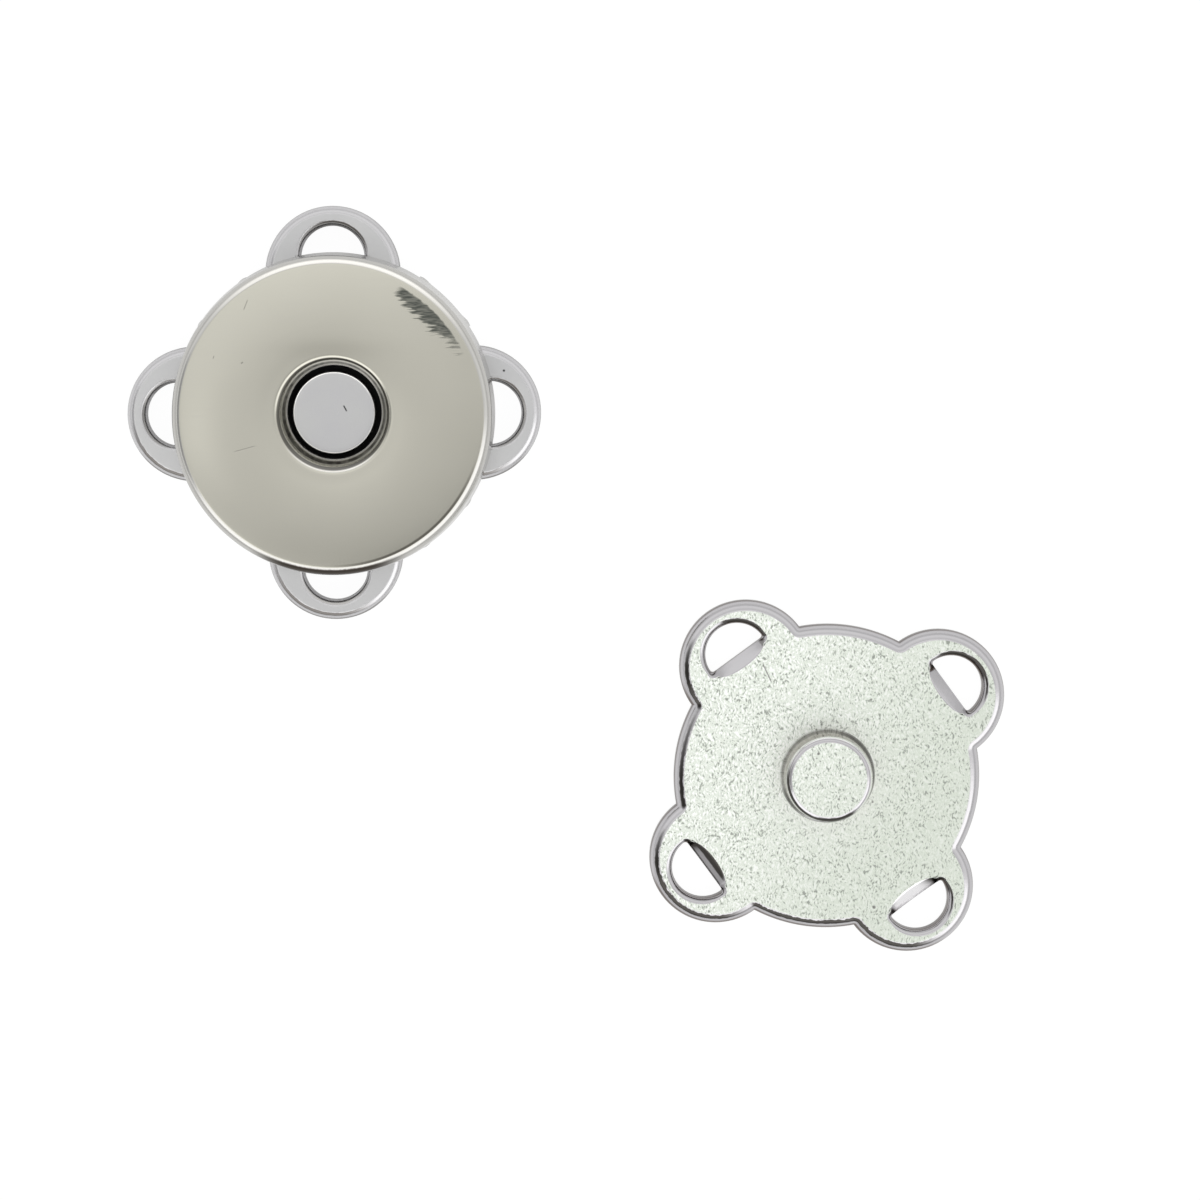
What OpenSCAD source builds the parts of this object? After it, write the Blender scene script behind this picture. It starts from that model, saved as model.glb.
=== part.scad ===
// Sew-on magnetic snap, both halves, lying apart on their flat backs.
// Millimetres. X runs to the right of the picture, Y up it, Z towards the viewer.
// The origin is the middle of the magnet half's back.

/* [Magnet half] */
// Diameter of the drawn cap at its foot, the widest part of its wall.
cap_d = 14; // [13.4:0.1:15]
// How much narrower the cap is at its shoulder than at its foot, on the diameter.
cap_taper = 0.24; // [0:0.02:0.4]
// Radius of the cap's rounded outer shoulder.
shoulder_r = 0.45; // [0.4:0.05:0.6]
// Height of the crown in the cap's face: how far its crest stands over the start of the shoulder.
crown_h = 0.16; // [0.08:0.02:0.24]
// Diameter of the crest, the circle where the crowned face is highest.
crest_d = 7.8; // [7.2:0.2:8.4]
// Thickness of the sheet that the cap is drawn from.
sheet_t = 0.35; // [0.3:0.05:0.4]
// Thickness of the ring magnet inside the cap.
magnet_t = 1.8; // [1.5:0.1:3]
// Width of one of the four crimped tabs, as an angle round the skirt.
tab_angle = 25; // [15:1:30]
// How far each tab is turned in under the ear plate, from the outside of the skirt.
tab_reach = 1.7; // [1.4:0.1:2.2]

/* [Socket] */
// Room on the radius between the top of the stud and the straight wall of the socket.
socket_clear = 0.18; // [0.14:0.01:0.26]
// How much wider the socket's funnel is at its mouth than its straight wall, on the radius.
funnel_w = 0.35; // [0.3:0.01:0.45]
// Depth of the funnel that leads from the cap's face to the straight wall.
funnel_h = 0.6; // [0.5:0.05:0.8]
// Radius of the turn where the cap's face rolls over into the funnel.
lip_r = 0.4; // [0.2:0.05:0.45]
// Depth of the lip's lower end under the crest of the cap's face.
lip_depth = 1.3; // [1:0.05:1.4]
// Diameter of the iron pole in the middle of the socket.
pole_d = 3.6; // [3:0.1:3.8]

/* [Ear plates] */
// Distance across both plates over opposite ears.
overall_w = 18; // [17.4:0.1:20]
// Diameter of one ear's round outer end.
ear_d = 5.86; // [5.4:0.02:6.2]
// Thickness of both ear plates.
plate_t = 0.8; // [0.7:0.05:1.1]
// Diameter of the stud half's round body between its ears.
stud_body_d = 13.5; // [12.8:0.1:13.8]
// Diameter of a sewing hole's round side.
hole_d = 2.76; // [2.4:0.04:2.96]
// Width of the ear's rim outside a sewing hole.
rim_w = 0.86; // [0.7:0.02:1.1]
// How far a hole's straight side lies inside the middle of its round side.
hole_flat_in = 0.08; // [0:0.02:0.2]
// How far the hollow over a hole's straight side reaches towards the middle of the plate.
hollow_reach = 0.5; // [0.3:0.05:0.6]

/* [Stud] */
// Diameter of the stud at its foot.
stud_d = 4.1; // [3.9:0.05:4.2]
// Diameter of the stud at its top, before the edge is rounded.
stud_top_d = 3.7; // [3.4:0.05:3.8]
// Height of the stud over its plate.
stud_h = 1.4; // [1.1:0.05:1.5]
// Radius of the stud's rounded top edge.
stud_edge_r = 0.3; // [0.2:0.05:0.5]

/* [How the halves lie] */
// Distance of the stud half to the right of the magnet half, middle to middle.
stud_half_right = 21.5; // [20:0.5:30]
// Distance of the stud half down from the magnet half, middle to middle.
stud_half_down = 16.15; // [15:0.05:20]
// Turn of the stud half about its own middle.
stud_half_turn = 36; // [0:1:90]

/* [Hidden] */
$fn = 96;
// How far a cutting shape runs past the face that it cuts.
over = 0.5;
// Room between the ring magnet and the inside of the cap, and round the lip.
magnet_clear = 0.1;
// Room on the radius between a rivet shank and its hole.
rivet_clear = 0.02;
// Room left between the two faces when the stud touches the pole.
closing_gap = 0.05;
// Rivet shanks and their riveted ends.
shank_d = 2.4;
pole_back_d = 4.4;
stud_tail_d = 3.2;
stud_tail_h = 0.3;
// Edge rounding of the ear plates: radius of the arc, and the height that it takes up.
plate_edge_r = 0.5;
plate_edge_h = 0.49;
// Small edge rounding of the magnet half's body, inside the cap.
inner_edge_r = 0.1;
// Edge rounding on the round side of a sewing hole.
hole_edge_r = 0.3;
hole_edge_h = 0.29;
// How far the hollow over a hole's straight side runs past the hole on either side.
hollow_side = 0.12;
// Rounded rim of the pole.
pole_edge_r = 0.18;
// How much softer the shoulder is inside the cap than the sheet's thickness alone gives.
bend_ease = 0.1;
// Outer radius of the fold where a tab turns in under the plate.
fold_r = 0.4;
// How much the shoulder and the lip would stand over the crown where they meet it.
crown_set = 0.005;

plate_z = sheet_t;
magnet_z = plate_z + plate_t;
cap_under_z = magnet_z + magnet_t;
cap_edge_z = cap_under_z + sheet_t;
cap_top_z = cap_edge_z + crown_h;
socket_depth = stud_h - closing_gap;
pole_top_z = cap_top_z - socket_depth;
lip_end_z = cap_top_z - lip_depth;
socket_r = stud_top_d / 2 + socket_clear;
mouth_r = socket_r + funnel_w;
funnel_side = sqrt(funnel_w * funnel_w + funnel_h * funnel_h);
cap_shoulder_d = cap_d - cap_taper;
ear_at = (overall_w - ear_d) / 2;
hole_at = overall_w / 2 - rim_w - hole_d / 2;
hole_flat_at = hole_at - hole_flat_in;
inner_plate_r = cap_d / 2 - sheet_t - magnet_clear;
inner_shoulder_r = shoulder_r - sheet_t + bend_ease;
magnet_out_r = cap_shoulder_d / 2 - sheet_t - magnet_clear;
crest_r = crest_d / 2;
crown_out = cap_shoulder_d / 2 - shoulder_r - crest_r;
crown_r = (crown_out * crown_out + crown_h * crown_h) / (2 * crown_h);
crown_in = crest_r - mouth_r - lip_r * (funnel_side - funnel_w) / funnel_h;
lip_top_z = cap_top_z - crown_r + sqrt(crown_r * crown_r - crown_in * crown_in) + crown_set;
funnel_back_w = sheet_t * funnel_side / funnel_h;
lip_back_r = socket_r + sheet_t;
lip_back_z = lip_top_z - funnel_h * (mouth_r + funnel_back_w - lip_back_r) / funnel_w;
magnet_in_r = mouth_r - funnel_w * (lip_top_z - cap_under_z) / funnel_h + funnel_back_w + magnet_clear;

// What comes off a square corner to leave it round; the arc's middle is at the origin.
module corner_off(radius) {
  difference() {
    square(radius + over);
    circle(r = radius);
  }
}

// What comes off the corner between a level top and a wall that falls by drop over a run, to leave
// it round; the corner's sharp point is at the origin and the wall falls away to the right.
module slope_corner_off(radius, run, drop) {
  side = sqrt(run * run + drop * drop);
  level = radius * (side - run) / drop;
  out_x = (radius + over) * drop / side - level;
  difference() {
    polygon([[-level, over], [-level, -radius], [out_x, (radius + over) * run / side - radius], [out_x, over]]);
    translate([-level, -radius]) circle(r = radius);
  }
}

// Half of a disc's section whose upper outer edge is an arc that meets the face at a shallow angle.
module edged_section(radius, thickness, edge_r, edge_h) {
  intersection() {
    square([radius, thickness]);
    union() {
      square([radius, thickness - edge_h]);
      square([radius - edge_r, thickness]);
      translate([radius - edge_r, thickness - edge_h]) circle(r = edge_r);
    }
  }
}

// A disc with such an edge, standing on z = 0.
module edged_disc(radius, thickness, edge_r, edge_h) {
  rotate_extrude() edged_section(radius, thickness, edge_r, edge_h);
}

// What leaves a sewing hole: round outside, straight inside, hollowed over the straight side.
module sewing_hole() {
  hole_r = hole_d / 2;
  hollow_half = hole_r + hollow_side;
  hollow_r = (hollow_half * hollow_half + hollow_reach * hollow_reach) / (2 * hollow_reach);
  hollow_at = hole_flat_at - hollow_reach + hollow_r;
  intersection() {
    translate([hole_at, 0, 0]) rotate_extrude() difference() {
      translate([0, -over]) square([hole_r + hole_edge_r, plate_t + 2 * over]);
      translate([hole_r, -2 * over]) square([hole_edge_r + over, plate_t - hole_edge_h + 2 * over]);
      translate([hole_r + hole_edge_r, plate_t - hole_edge_h]) circle(r = hole_edge_r);
    }
    union() {
      translate([hole_flat_at, -hole_d, -over]) cube([hole_d, 2 * hole_d, plate_t + 2 * over]);
      translate([hollow_at, 0, 0])
        cylinder(h = 2 * plate_t, r1 = hollow_r - hollow_reach, r2 = hollow_r + hollow_reach);
    }
  }
}

// The stamped outline of both plates, standing on z = 0: a round body with four ears.
module eared_plate(body_r, body_edge_r, body_edge_h) {
  difference() {
    union() {
      edged_disc(body_r, plate_t, body_edge_r, body_edge_h);
      for (a = [0:90:270]) rotate([0, 0, a]) translate([ear_at, 0, 0])
        edged_disc(ear_d / 2, plate_t, plate_edge_r, plate_edge_h);
    }
    for (a = [0:90:270]) rotate([0, 0, a]) sewing_hole();
  }
}

// Section of the cap: crowned face, shoulder, wall, turned-in foot and the lip of the socket.
module cap_section() {
  wall_r = cap_d / 2;
  shoulder_out_r = cap_shoulder_d / 2;
  shoulder_z = cap_edge_z + crown_set - shoulder_r;
  difference() {
    // Outside of the shell, under the crown.
    intersection() {
      translate([crest_r, cap_top_z - crown_r]) circle(r = crown_r);
      difference() {
        polygon([[0, 0], [wall_r, 0], [wall_r, magnet_z], [shoulder_out_r, shoulder_z],
          [shoulder_out_r, cap_top_z + over], [0, cap_top_z + over]]);
        translate([shoulder_out_r - shoulder_r, shoulder_z]) corner_off(shoulder_r);
        translate([wall_r - fold_r, fold_r]) mirror([0, 1]) corner_off(fold_r);
      }
    }
    // Room for the ring magnet, with the crown's inside over it and the funnel's back beside it.
    intersection() {
      translate([crest_r, cap_top_z - crown_r]) circle(r = crown_r - sheet_t);
      difference() {
        polygon([[lip_back_r, magnet_z], [wall_r - sheet_t, magnet_z],
          [shoulder_out_r - sheet_t, shoulder_z], [shoulder_out_r - sheet_t, lip_top_z],
          [mouth_r + funnel_back_w, lip_top_z], [lip_back_r, lip_back_z]]);
        translate([shoulder_out_r - sheet_t - inner_shoulder_r, cap_under_z + crown_set - inner_shoulder_r])
          corner_off(inner_shoulder_r);
      }
    }
    // Room for the plate, over the turned-in tabs.
    translate([0, plate_z]) square([wall_r - sheet_t, plate_t]);
    square([wall_r - tab_reach, magnet_z]);
    // Under the lip, and the socket with its funnel.
    square([magnet_in_r, lip_end_z]);
    square([socket_r, cap_top_z + over]);
    polygon([[0, lip_top_z - funnel_h], [socket_r, lip_top_z - funnel_h], [mouth_r, lip_top_z],
      [mouth_r, cap_top_z + over], [0, cap_top_z + over]]);
    translate([mouth_r, lip_top_z]) mirror([1, 0]) slope_corner_off(lip_r, funnel_w, funnel_h);
  }
}

// The drawn cap with its lip, its skirt and the four tabs crimped under the ear plate.
module magnet_cap() {
  color("silver") difference() {
    rotate_extrude() cap_section();
    for (a = [0:90:270]) rotate([0, 0, a - 45 + tab_angle / 2])
      rotate_extrude(angle = 90 - tab_angle)
        translate([cap_d / 4, -over]) square([cap_d / 2, magnet_z + over]);
  }
}

// The hard ferrite ring that does the holding.
module ring_magnet() {
  color("dimgray") translate([0, 0, magnet_z]) rotate_extrude() difference() {
    translate([magnet_in_r, 0]) square([magnet_out_r - magnet_in_r, magnet_t]);
    translate([magnet_out_r - inner_shoulder_r, magnet_t - inner_shoulder_r]) corner_off(inner_shoulder_r);
  }
}

// The soft iron pole: its head stands in the socket, its end is riveted over the plate's back.
module pole_rivet() {
  color("gainsboro") {
    translate([0, 0, magnet_z]) rotate_extrude() difference() {
      square([pole_d / 2, pole_top_z - magnet_z]);
      translate([pole_d / 2 - pole_edge_r, pole_top_z - magnet_z - pole_edge_r]) corner_off(pole_edge_r);
    }
    translate([0, 0, plate_z]) cylinder(h = plate_t, d = shank_d);
    cylinder(h = plate_z, d = pole_back_d);
  }
}

// The base plate of the magnet half with its four sewing ears.
module magnet_ear_plate() {
  color("lightsteelblue") translate([0, 0, plate_z]) difference() {
    eared_plate(inner_plate_r, inner_edge_r, inner_edge_r * 0.95);
    translate([0, 0, -over]) cylinder(h = plate_t + 2 * over, d = shank_d + 2 * rivet_clear);
  }
}

// Puts the stud half beside the magnet half.
module stud_half_place() {
  translate([stud_half_right, -stud_half_down, 0]) rotate([0, 0, stud_half_turn]) children();
}

// The plate of the stud half with its four sewing ears.
module stud_ear_plate() {
  color("lightsteelblue") stud_half_place() difference() {
    eared_plate(stud_body_d / 2, plate_edge_r, plate_edge_h);
    translate([0, 0, -over]) cylinder(h = plate_t + 2 * over, d = shank_d + 2 * rivet_clear);
    cylinder(h = stud_tail_h, d1 = stud_tail_d, d2 = shank_d);
  }
}

// The stud: a headed rivet whose end fills the countersink in the plate's back.
module stud() {
  color("gainsboro") stud_half_place() {
    translate([0, 0, plate_t]) rotate_extrude() difference() {
      polygon([[0, 0], [stud_d / 2, 0], [stud_top_d / 2, stud_h], [0, stud_h]]);
      translate([stud_top_d / 2, stud_h]) slope_corner_off(stud_edge_r, (stud_d - stud_top_d) / 2, stud_h);
    }
    cylinder(h = plate_t, d = shank_d);
    cylinder(h = stud_tail_h, d1 = stud_tail_d, d2 = shank_d);
  }
}

magnet_cap();
ring_magnet();
pole_rivet();
magnet_ear_plate();
stud_ear_plate();
stud();
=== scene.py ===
import math

import bmesh
import bpy
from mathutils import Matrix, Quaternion, Vector
from mathutils.geometry import delaunay_2d_cdt


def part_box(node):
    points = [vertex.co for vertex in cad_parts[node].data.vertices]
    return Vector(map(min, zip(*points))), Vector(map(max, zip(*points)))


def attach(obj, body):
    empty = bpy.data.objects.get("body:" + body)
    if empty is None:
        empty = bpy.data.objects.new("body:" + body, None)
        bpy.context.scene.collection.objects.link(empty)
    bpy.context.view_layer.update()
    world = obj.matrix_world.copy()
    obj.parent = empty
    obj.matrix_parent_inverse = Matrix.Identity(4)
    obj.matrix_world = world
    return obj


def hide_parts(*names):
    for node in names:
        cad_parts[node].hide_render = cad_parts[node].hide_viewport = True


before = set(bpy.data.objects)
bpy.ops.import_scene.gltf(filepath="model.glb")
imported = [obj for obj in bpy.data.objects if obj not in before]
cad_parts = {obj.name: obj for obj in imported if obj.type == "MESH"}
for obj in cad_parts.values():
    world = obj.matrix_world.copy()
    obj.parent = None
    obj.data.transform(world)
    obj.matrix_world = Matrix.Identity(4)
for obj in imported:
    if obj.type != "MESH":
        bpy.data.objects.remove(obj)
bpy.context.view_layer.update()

# %% [markdown]
# ## Sizes
# The dressed pieces take their places from the CAD boxes and their sections from the same
# drawing as the solids. Everything below is in millimetres in the row's frame, and is turned
# into metres only when a mesh is made.
# %% Sizes in millimetres
MM = 0.001


def box_mm(node):
    low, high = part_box(node)
    return [v / MM for v in low], [v / MM for v in high]


cap_low, cap_high = box_mm("magnet_cap")
ears_low, ears_high = box_mm("magnet_ear_plate")
pole_low, pole_high = box_mm("pole_rivet")
stud_low, stud_high = box_mm("stud")
CAP_R = cap_high[0]
CAP_TOP = cap_high[2]
CAP_SHOULDER_R = CAP_R - 0.12
SHOULDER = 0.45
SHEET = 0.35
CREST_R = 3.9
CROWN = 0.16
CROWN_OUT = CAP_SHOULDER_R - SHOULDER - CREST_R
CROWN_R = (CROWN_OUT ** 2 + CROWN ** 2) / (2 * CROWN)
SOCKET_R = 2.03
MOUTH_R = SOCKET_R + 0.35
FUNNEL_H = 0.6
LIP_TURN = 0.4
LIP_END = CAP_TOP - 1.3
PLATE_LOW = ears_low[2]
PLATE = ears_high[2] - ears_low[2]
OVERALL_R = ears_high[0]
EAR_R = 2.93
EAR_AT = OVERALL_R - EAR_R
HOLE_R = 1.38
HOLE_AT = OVERALL_R - 0.86 - HOLE_R
FLAT_AT = HOLE_AT - 0.08
POLE_R = 1.8
POLE_TOP = pole_high[2]
STUD_R = (stud_high[0] - stud_low[0]) / 2
STUD_TOP_R = 1.85
STUD_TOP = stud_high[2]
STUD_AT = ((stud_low[0] + stud_high[0]) / 2, (stud_low[1] + stud_high[1]) / 2)
STUD_TURN = math.radians(36)
print("cap", CAP_R, CAP_TOP, "plate", PLATE_LOW, PLATE, "stud at", STUD_AT, STUD_R, STUD_TOP)

# %% [markdown]
# ## From points to a piece
# Every piece here is a skin of rings: a list of closed rows of points, each joined to the
# next by a band of four-sided faces. Sheet and turned parts are both described well by it,
# because their edges are what the eye reads, and a ring is a contour of such an edge.
# %% Mesh helpers
def add_rings(bm, rings, close=True):
    rows = [[bm.verts.new(Vector(p) * MM) for p in ring] for ring in rings]
    for lower, upper in zip(rows, rows[1:]):
        count = len(lower)
        for i in range(count if close else count - 1):
            j = (i + 1) % count
            bm.faces.new((lower[i], lower[j], upper[j], upper[i]))
    return rows


def finish_piece(bm, name, nodes, sharp=35.0, merge=2e-7):
    bmesh.ops.remove_doubles(bm, verts=bm.verts, dist=merge)
    bmesh.ops.dissolve_degenerate(bm, edges=bm.edges, dist=merge)
    bmesh.ops.recalc_face_normals(bm, faces=bm.faces)
    mesh = bpy.data.meshes.new(name)
    bm.to_mesh(mesh)
    bm.free()
    mesh.shade_smooth()
    mesh.set_sharp_from_angle(angle=math.radians(sharp))
    piece = bpy.data.objects.new(name, mesh)
    bpy.context.scene.collection.objects.link(piece)
    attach(piece, "root")
    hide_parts(*nodes)
    print(name, len(mesh.polygons), "faces")
    return piece


def turned(profile, steps, at=(0.0, 0.0)):
    """Rings of a turned skin: profile holds (radius, height) points in order."""
    rings = []
    for radius, height in profile:
        ring = []
        for i in range(steps):
            a = 2 * math.pi * i / steps
            ring.append((at[0] + radius * math.cos(a), at[1] + radius * math.sin(a), height))
        rings.append(ring)
    return rings


def arc(cx, cy, radius, start, end, steps):
    """Points of an arc, in degrees, both ends included."""
    return [
        (cx + radius * math.cos(math.radians(start + (end - start) * i / steps)),
         cy + radius * math.sin(math.radians(start + (end - start) * i / steps)))
        for i in range(steps + 1)
    ]


# %% [markdown]
# ## The outline of the eared plates
# A plate is stamped from sheet: a round body with four round ears. The outline is kept as
# points with the direction that points into the metal, so that every contour of the rolled
# over edge is the same outline moved inwards. Round the sharp notch between an ear and the
# body the direction fans out, which gives the soft valley that a die leaves there.
# %% Outline of a plate
def plate_outline(body_r, arc_steps=44, fan=7):
    notch = math.acos((body_r ** 2 + EAR_AT ** 2 - EAR_R ** 2) / (2 * body_r * EAR_AT))
    at_ear = math.atan2(body_r * math.sin(notch), body_r * math.cos(notch) - EAR_AT)
    points = []
    for quarter in range(4):
        turn = quarter * math.pi / 2

        def put(x, y, angle):
            c, s = math.cos(turn), math.sin(turn)
            nx, ny = -math.cos(angle), -math.sin(angle)
            points.append((x * c - y * s, x * s + y * c, nx * c - ny * s, nx * s + ny * c))

        for i in range(arc_steps + 1):
            a = -at_ear + 2 * at_ear * i / arc_steps
            put(EAR_AT + EAR_R * math.cos(a), EAR_R * math.sin(a), a)
        nx, ny = body_r * math.cos(notch), body_r * math.sin(notch)
        for i in range(1, fan):
            put(nx, ny, at_ear + (notch - at_ear) * i / fan)
        for i in range(arc_steps // 2 + 1):
            a = notch + (math.pi / 2 - 2 * notch) * i / (arc_steps // 2)
            put(body_r * math.cos(a), body_r * math.sin(a), a)
        nx, ny = body_r * math.cos(math.pi / 2 - notch), body_r * math.sin(math.pi / 2 - notch)
        for i in range(1, fan):
            start = math.pi / 2 - notch
            end = math.pi / 2 - at_ear
            put(nx, ny, start + (end - start) * i / fan)
    return points


print("outline points", len(plate_outline(6.75)))

# %% [markdown]
# ## The sewing holes
# A hole is round outside and straight inside. The round side is softly rolled over. Over the
# straight side the metal is hollowed, so that a needle slides in: from above, a smooth slope
# in the shape of a lens leads down to the straight edge.
# %% Outline of a sewing hole
def hole_outline(arc_steps=56, corner=0.14):
    fx = FLAT_AT + corner
    fy = math.sqrt((HOLE_R - corner) ** 2 - (fx - HOLE_AT) ** 2)
    reach = math.degrees(math.atan2(fy, fx - HOLE_AT))
    points = []
    for x, y in arc(HOLE_AT, 0, HOLE_R, -reach, reach, arc_steps):
        a = math.atan2(y, x - HOLE_AT)
        side = abs(math.degrees(a)) / reach
        points.append((x, y, math.cos(a), math.sin(a), 0.30 - 0.12 * side ** 4, 0.33, 0.0))
    for i in range(1, 7):
        a = math.radians(reach + (180 - reach) * i / 7)
        w = i / 7
        points.append((fx + corner * math.cos(a), fy + corner * math.sin(a), math.cos(a), math.sin(a), 0.20, 0.33 - 0.13 * w, w))
    for i in range(25):
        y = fy * (1 - 2 * i / 24)
        middle = max(0.0, 1 - (y / fy) ** 2)
        points.append((FLAT_AT, y, -1.0, 0.0, 0.20 + 0.34 * middle ** 0.6, 0.20 + 0.16 * middle ** 0.6, 1.0))
    for i in range(1, 7):
        a = math.radians(180 + (180 - reach) * i / 7)
        w = 1 - i / 7
        points.append((fx + corner * math.cos(a), -fy + corner * math.sin(a), math.cos(a), math.sin(a), 0.20, 0.33 - 0.13 * w, w))
    return points


print("hole outline points", len(hole_outline()))

# %% [markdown]
# ## The plates
# The outer edge falls off in a quarter of an ellipse and then drops straight to a small
# sheared corner at the back. Between the contours of the edge and the holes the face is flat,
# so it is filled with triangles.
# %% Fill a flat face round its holes
def fill_face(bm, loops, z):
    """Triangles between the first loop and the others, which are holes and are convex."""
    points, edges, owner = [], [], []
    for number, loop in enumerate(loops):
        start = len(points)
        points += [Vector((p[0], p[1])) for p in loop]
        owner += [number] * len(loop)
        edges += [(start + i, start + (i + 1) % len(loop)) for i in range(len(loop))]
    verts, _, faces, came_from, _, _ = delaunay_2d_cdt(points, edges, [], 1, 1e-6)
    loop_of = [owner[came[0]] if came else -1 for came in came_from]
    made = [bm.verts.new((v.x * MM, v.y * MM, z * MM)) for v in verts]
    for face in faces:
        loops_met = {loop_of[i] for i in face}
        if len(loops_met) > 1 or loops_met == {0}:
            bm.faces.new([made[i] for i in face])


# %% Build a plate
STUD_PLATE_ROLL = 0.53
MAGNET_PLATE_ROLL = 0.40
CREASE = 8
CUT_EDGE = 0.04
FLAT_RIM = 0.03
EDGE_STEPS = 14
SHANK_HOLE_R = 1.22


def build_plate(name, node, body_r, low, roll, at=(0.0, 0.0), turn=0.0):
    high = low + PLATE
    bm = bmesh.new()
    outline = plate_outline(body_r)
    hole = hole_outline()
    c0, s0 = math.cos(turn), math.sin(turn)

    def place(x, y, z):
        return (at[0] + x * c0 - y * s0, at[1] + x * s0 + y * c0, z)

    def outer(inset, z):
        return [place(x + nx * inset, y + ny * inset, z) for x, y, nx, ny in outline]

    rings = [outer(CUT_EDGE, low), outer(0.0, low + CUT_EDGE)]
    for i in range(EDGE_STEPS + 1):
        lean = math.radians(90 - (90 - CREASE) * i / EDGE_STEPS)
        rings.append(outer(roll * (1 - math.sin(lean)), high - roll * (math.cos(math.radians(CREASE)) - math.cos(lean))))
    rings.append(outer(roll * (1 - math.sin(math.radians(CREASE))) + FLAT_RIM, high))
    add_rings(bm, rings)
    top_loops = [rings[-1]]
    low_loops = [rings[0]]

    for quarter in range(4):
        c, s = math.cos(quarter * math.pi / 2), math.sin(quarter * math.pi / 2)

        def hole_ring(height_at, share=None, fixed=0.0):
            ring = []
            for x, y, nx, ny, reach, depth, slope in hole:
                d = fixed if share is None else reach * share
                px, py = x + nx * (d + (FLAT_RIM if height_at is None else 0)), y + ny * (d + (FLAT_RIM if height_at is None else 0))
                z = high if height_at is None else height_at(depth, slope)
                ring.append(place(px * c - py * s, px * s + py * c, z))
            return ring

        rings = [hole_ring(None, share=1.0)]
        for i in range(EDGE_STEPS, -1, -1):
            t = i / EDGE_STEPS
            share = (1 - math.cos(t * math.pi / 2)) ** 0.9

            def height(depth, slope, t=t, share=share):
                rounded = high - depth * (1 - math.sin(t * math.pi / 2)) ** 1.05
                sloped = high - depth * (1 - share) ** 1.05
                return rounded * (1 - slope) + sloped * slope

            rings.append(hole_ring(height, share=share))
        rings.append(hole_ring(lambda depth, slope: low + CUT_EDGE))
        rings.append(hole_ring(lambda depth, slope: low, fixed=CUT_EDGE))
        add_rings(bm, rings)
        top_loops.append(rings[0])
        low_loops.append(rings[-1])

    shank = []
    for z in (high, low):
        shank.append([place(SHANK_HOLE_R * math.cos(2 * math.pi * i / 72), SHANK_HOLE_R * math.sin(2 * math.pi * i / 72), z) for i in range(72)])
    add_rings(bm, shank)
    fill_face(bm, top_loops + [shank[0]], high)
    fill_face(bm, low_loops + [shank[1]], low)
    return finish_piece(bm, name, [node], merge=2e-8)


magnet_ears = build_plate("magnet_ears", "magnet_ear_plate", 6.55, PLATE_LOW, MAGNET_PLATE_ROLL)
stud_ears = build_plate("stud_ears", "stud_ear_plate", 6.75, 0.0, STUD_PLATE_ROLL, STUD_AT, STUD_TURN)

# %% [markdown]
# ## The cap
# The cap is one drawing: a face very slightly crowned between the socket and the shoulder, a
# lip rolled down into the socket, a skirt, and four tabs of the skirt folded in under the
# plate. Only its outer skin is drawn; the thickness of the sheet is added inwards.
# %% Build the cap
LIP_EASE = 0.016
LIP_ASIDE = (0.11, 0.15)


def crown(radius, below=0.0):
    """Height of the crowned face, or of a parallel surface under it."""
    reach = CROWN_R - below
    return CAP_TOP - CROWN_R + math.sqrt(reach ** 2 - (radius - CREST_R) ** 2)


def cap_profile():
    funnel = math.atan2(FUNNEL_H, MOUTH_R - SOCKET_R)
    lip_at = MOUTH_R + LIP_TURN * math.tan(funnel / 2)
    lip_z = crown(lip_at, LIP_TURN)
    lip_lean = math.degrees(math.atan2(CREST_R - lip_at, CROWN_R))
    funnel_low = lip_z + LIP_TURN - FUNNEL_H
    shoulder_at = CAP_SHOULDER_R - SHOULDER
    shoulder_z = crown(shoulder_at, SHOULDER)
    shoulder_lean = math.degrees(math.atan2(shoulder_at - CREST_R, CROWN_R))
    profile = [(SOCKET_R + 0.01, LIP_END), (SOCKET_R, LIP_END + 0.1), (SOCKET_R, funnel_low - 0.3)]
    for i in range(5):
        t = (i / 4 - 0.5) * 0.2
        profile.append((SOCKET_R + max(0.0, t) * 0.5 + 0.01 * (i / 4) ** 2, funnel_low + t * 0.7))
    profile += arc(lip_at, lip_z, LIP_TURN, 90 + math.degrees(funnel), 90 + lip_lean, 18)
    face_from = profile[-1][0]
    face_to = shoulder_at + SHOULDER * math.sin(math.radians(shoulder_lean))
    for i in range(1, 40):
        r = face_from + (face_to - face_from) * i / 40
        profile.append((r, crown(r) - LIP_EASE * (math.exp(-(r - face_from) / 0.3) - math.exp(-(face_to - face_from) / 0.3)) * min(1.0, i / 4)))
    profile += arc(shoulder_at, shoulder_z, SHOULDER, 90 - shoulder_lean, 3, 18)
    foot = PLATE_LOW + PLATE
    top = profile[-1][1]
    profile += [(CAP_SHOULDER_R + (CAP_R - CAP_SHOULDER_R) * i / 6, top + (foot - top) * i / 6) for i in range(1, 7)]
    return profile


def tab_profile():
    z0 = PLATE_LOW + PLATE
    fold = 0.4
    wall = [(CAP_R, z0 + (fold - z0) * i / 4) for i in range(5)]
    turn = arc(CAP_R - fold, fold, fold, 0, -90, 8)[1:]
    foot = [(CAP_R - 0.7, 0.0), (CAP_R - 1.2, 0.0), (CAP_R - 1.7, 0.0)]
    return wall + turn + foot


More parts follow.
